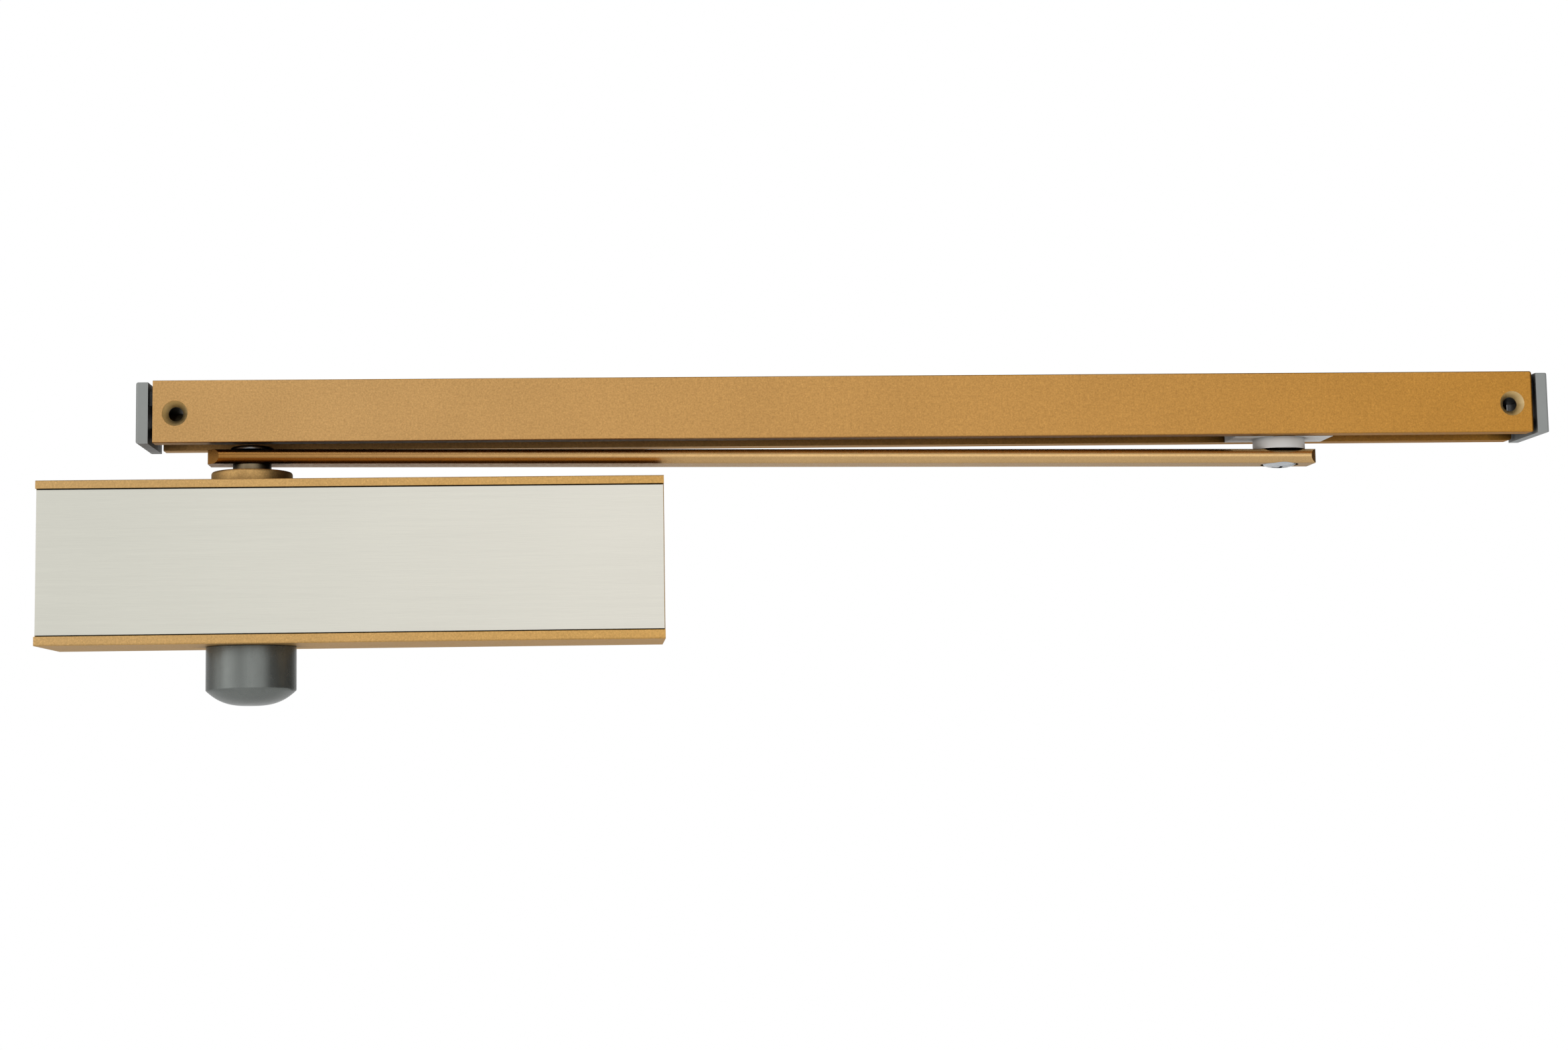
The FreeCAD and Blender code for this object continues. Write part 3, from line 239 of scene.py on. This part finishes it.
def machined(name, colour, roughness):
    """Machined or plated metal with fine scratches, a little tarnish, and painted shade in gaps."""
    s = Shader(name, colour, metallic=1.0, roughness=roughness)
    scratch = s.noise(1.0, 3.0, s.stretched(1500, 1500, 6000), 0.7)
    tarnish = s.noise(120, 4.0)
    shade = s.math("MULTIPLY", s.remap(scratch, 0.3, 0.7, 0.93, 1.05), s.remap(tarnish, 0.3, 0.7, 0.9, 1.04))
    s.link(s.shadowed(s.mix(1.0, colour, s.grey(shade), "MULTIPLY")), "Base Color")
    s.link(s.remap(tarnish, 0.3, 0.7, roughness - 0.06, roughness + 0.08), "Roughness")
    s.link(s.bump(scratch, 0.12, 0.00003), "Normal")
    return s.material


def body_gold():
    # slightly deeper gold towards the right: painted light; painted shade in gaps
    return gold_paint("gold_paint", linear(202, 164, 108), linear(204, 160, 94), -0.1, 0.1, 0.42, 0.13)


def arm_gold():
    """Smoother than the rest, and darker at the spindle: painted shade, where the body lies below the arm.
    """
    dark, bright = linear(150, 104, 50), linear(212, 174, 120)
    return gold_paint("gold_arm", dark, bright, -0.05, 0.15, 0.28, 0.06, 0.0015)


def rail_gold():
    # pale at the left end to deeper, warmer gold at the right: painted light; painted shade reaches 16 mm
    # under the rail
    pale, deep = linear(196, 154, 98), linear(188, 134, 58)
    return gold_paint("gold_rail", pale, deep, 0.0, 0.42, 0.42, 0.13, 0.016, rail_fixing_places())


def make_materials():
    """Every material, by the name of its slot in the record."""
    return {
        "gold_paint": body_gold(),
        "gold_arm": arm_gold(),
        "gold_rail": rail_gold(),
        "brushed_steel": brushed_steel(),
        "grey_plastic": moulded("grey_plastic", linear(150, 153, 151), 0.42, reach=0.02),
        "silver_plastic": silvered("silver_plastic", linear(116, 120, 117), 0.24),
        "white_nylon": moulded("white_nylon", linear(222, 223, 222), 0.5, reach=0.003),
        "seal_rubber": moulded("seal_rubber", (0.02, 0.02, 0.02), 0.6),
        "bearing_steel": machined("bearing_steel", linear(170, 170, 172), 0.3),
        "plug_steel": machined("plug_steel", linear(176, 174, 168), 0.38),
        "spring_steel": machined("spring_steel", linear(90, 90, 92), 0.35),
        "spindle_steel": machined("spindle_steel", linear(158, 140, 112), 0.34),
        "bright_screw": machined("bright_screw", linear(214, 218, 222), 0.18),
        "bush_bronze": machined("bush_bronze", linear(170, 124, 66), 0.4),
        "brass_insert": machined("brass_insert", linear(200, 164, 92), 0.3),
    }


def finish_frame(materials):
    """Gives every CAD node the material of its slot in the record."""
    slots = {part["node"]: part["material_slot"] for part in frame["record"]["subparts"]}
    for name, node in frame["nodes"].items():
        for held in node.material_slots:
            held.material = materials[slots[name]]


# ---------------------------------------------------------------- pieces
CAP_WALL = 0.00145
CAP_DOME = 0.0053
CAP_DOME_STEPS = 24
# the higher, the flatter the middle of the dome and the tighter its edge
CAP_DOME_POWER = 2.9
# a short band beside each edge, so that smooth shading doesn't spread over the whole side
CAP_EDGE_BAND = 0.0008


def lathe(name, profile, at, segments=144):
    """A closed profile of (radius, z) points turned about the upright axis at the (x, y) place."""
    mesh = bmesh.new()
    rings = []
    for step in range(segments):
        turn = 2 * math.pi * step / segments
        spots = [(at[0] + r * math.cos(turn), at[1] + r * math.sin(turn), z) for r, z in profile]
        rings.append([mesh.verts.new(spot) for spot in spots])
    for ring, following in zip(rings, rings[1:] + rings[:1]):
        for low in range(-1, len(profile) - 1):
            mesh.faces.new((ring[low], following[low], following[low + 1], ring[low + 1]))
    bmesh.ops.remove_doubles(mesh, verts=mesh.verts, dist=1e-7)
    bmesh.ops.recalc_face_normals(mesh, faces=mesh.faces)
    data = bpy.data.meshes.new(name)
    mesh.to_mesh(data)
    mesh.free()
    piece = bpy.data.objects.new(name, data)
    bpy.context.scene.collection.objects.link(piece)
    data.shade_smooth()
    data.set_sharp_from_angle(angle=math.radians(60))
    return piece


def spindle_cap_detail(material):
    """The cap over the lower end of the spindle: a straight skirt and a smooth low dome."""
    low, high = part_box("spindle_cap")
    radius = (high.x - low.x) / 2
    inner_radius = radius - CAP_WALL
    steps = [step / CAP_DOME_STEPS for step in range(CAP_DOME_STEPS + 1)]
    dome = [(t, CAP_DOME * t ** CAP_DOME_POWER) for t in steps]
    outer = [(radius * t, low.z + rise) for t, rise in dome]
    inner = [(inner_radius * t, low.z + CAP_WALL + rise) for t, rise in reversed(dome)]
    skirt = [
        (radius, low.z + CAP_DOME + CAP_EDGE_BAND),
        (radius, high.z - CAP_EDGE_BAND),
        (radius, high.z),
        (inner_radius, high.z),
    ]
    profile = outer + skirt + inner
    piece = lathe("spindle_cap_detail", profile, ((low.x + high.x) / 2, (low.y + high.y) / 2))
    piece.data.materials.append(material)
    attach(piece, "closer_body")
    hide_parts("spindle_cap")


# ---------------------------------------------------------------- stage, light and camera
def build_stage():
    """A plain pale floor that throws some light up at the undersides."""
    bpy.ops.mesh.primitive_plane_add(size=2.2, location=(0.15, -0.6, -0.3))
    floor = bpy.context.object
    floor.name = "floor"
    s = Shader("floor", (0.8, 0.8, 0.8), roughness=0.9, Emission_Strength=0.4)
    s.link(s.grey(s.remap(s.noise(3, 2.0), 0.3, 0.7, 0.79, 0.81)), "Base Color")
    s.bsdf.inputs["Emission Color"].default_value = (1, 1, 1, 1)
    floor.data.materials.append(s.material)


def top_light():
    """A small soft lamp above and in front, aimed at the middle of the object."""
    light = bpy.data.lights.new("top", "AREA")
    light.shape = "RECTANGLE"
    light.size, light.size_y = 0.8, 0.5
    light.energy = 2.0
    holder = bpy.data.objects.new("top", light)
    at, middle = Vector((-0.2, -0.7, 1.1)), Vector((0.1, -0.02, 0.02))
    holder.location = at
    holder.rotation_euler = (middle - at).to_track_quat("-Z", "Y").to_euler()
    bpy.context.scene.collection.objects.link(holder)


def studio_ring(nodes, links, direction):
    """The brightness of the studio by the angle around the object, from STUDIO_RING."""
    forward = nodes.new("ShaderNodeMath")
    forward.operation = "MULTIPLY"
    forward.inputs[1].default_value = -1.0
    links.new(direction.outputs["Y"], forward.inputs[0])
    azimuth = nodes.new("ShaderNodeMath")
    azimuth.operation = "ARCTAN2"
    links.new(direction.outputs["X"], azimuth.inputs[0])
    links.new(forward.outputs["Value"], azimuth.inputs[1])
    turn = nodes.new("ShaderNodeMapRange")
    turn.inputs["From Min"].default_value = -math.pi
    turn.inputs["From Max"].default_value = math.pi
    links.new(azimuth.outputs["Value"], turn.inputs["Value"])
    ring = nodes.new("ShaderNodeValToRGB")
    ring.color_ramp.interpolation = "EASE"
    while len(ring.color_ramp.elements) < len(STUDIO_RING):
        ring.color_ramp.elements.new(0.5)
    for stop, (degrees, level) in zip(ring.color_ramp.elements, STUDIO_RING):
        stop.position = (degrees + 180) / 360
        stop.color = (level, level, level, 1)
    links.new(turn.outputs["Result"], ring.inputs["Fac"])
    return ring.outputs["Color"]


def studio_strength(nodes, links, direction):
    """STUDIO_LEVEL near the horizon and below, falling to the OVERHEAD share of it higher up."""
    fall = nodes.new("ShaderNodeMapRange")
    fall.interpolation_type = "SMOOTHSTEP"
    for name, value in (("From Min", 0.12), ("From Max", 0.75), ("To Min", 1.0), ("To Max", OVERHEAD)):
        fall.inputs[name].default_value = value
    links.new(direction.outputs["Z"], fall.inputs["Value"])
    strength = nodes.new("ShaderNodeMath")
    strength.operation = "MULTIPLY"
    strength.inputs[1].default_value = STUDIO_LEVEL
    links.new(fall.outputs["Result"], strength.inputs[0])
    return strength.outputs["Value"]


def build_world():
    """A white background; the light itself is a ring of soft boxes, brightest on the left."""
    world = bpy.data.worlds.new("studio")
    bpy.context.scene.world = world
    world.use_nodes = True
    nodes, links = world.node_tree.nodes, world.node_tree.links
    seen = nodes["Background"]
    seen.inputs["Color"].default_value = (1, 1, 1, 1)
    seen.inputs["Strength"].default_value = 1.0
    direction = nodes.new("ShaderNodeSeparateXYZ")
    links.new(nodes.new("ShaderNodeTexCoord").outputs["Generated"], direction.inputs["Vector"])
    lighting = nodes.new("ShaderNodeBackground")
    links.new(studio_ring(nodes, links, direction), lighting.inputs["Color"])
    links.new(studio_strength(nodes, links, direction), lighting.inputs["Strength"])
    path = nodes.new("ShaderNodeLightPath")
    choose = nodes.new("ShaderNodeMixShader")
    links.new(path.outputs["Is Camera Ray"], choose.inputs["Fac"])
    links.new(lighting.outputs["Background"], choose.inputs[1])
    links.new(seen.outputs["Background"], choose.inputs[2])
    links.new(choose.outputs["Shader"], nodes["World Output"].inputs["Surface"])


def build_camera():
    """A camera in front of the object and a little below it, looking slightly up and to the right."""
    camera = bpy.data.cameras.new("camera")
    camera.lens = 59.48
    camera.sensor_width = 36.0
    camera.shift_x = 0.0344
    camera.shift_y = -0.0209
    holder = bpy.data.objects.new("camera", camera)
    place = Matrix.Translation((0.08222, -0.92521, -0.07179))
    yaw = Matrix.Rotation(math.radians(-3.030), 4, "Z")
    pitch = Matrix.Rotation(math.pi / 2 + math.radians(6.054), 4, "X")
    roll = Matrix.Rotation(math.radians(-0.846), 4, "Z")
    holder.matrix_world = place @ yaw @ pitch @ roll
    bpy.context.scene.collection.objects.link(holder)
    bpy.context.scene.camera = holder


materials = make_materials()
finish_frame(materials)
spindle_cap_detail(materials["silver_plastic"])
build_stage()
build_world()
top_light()
build_camera()
bpy.context.scene.view_settings.view_transform = "Standard"
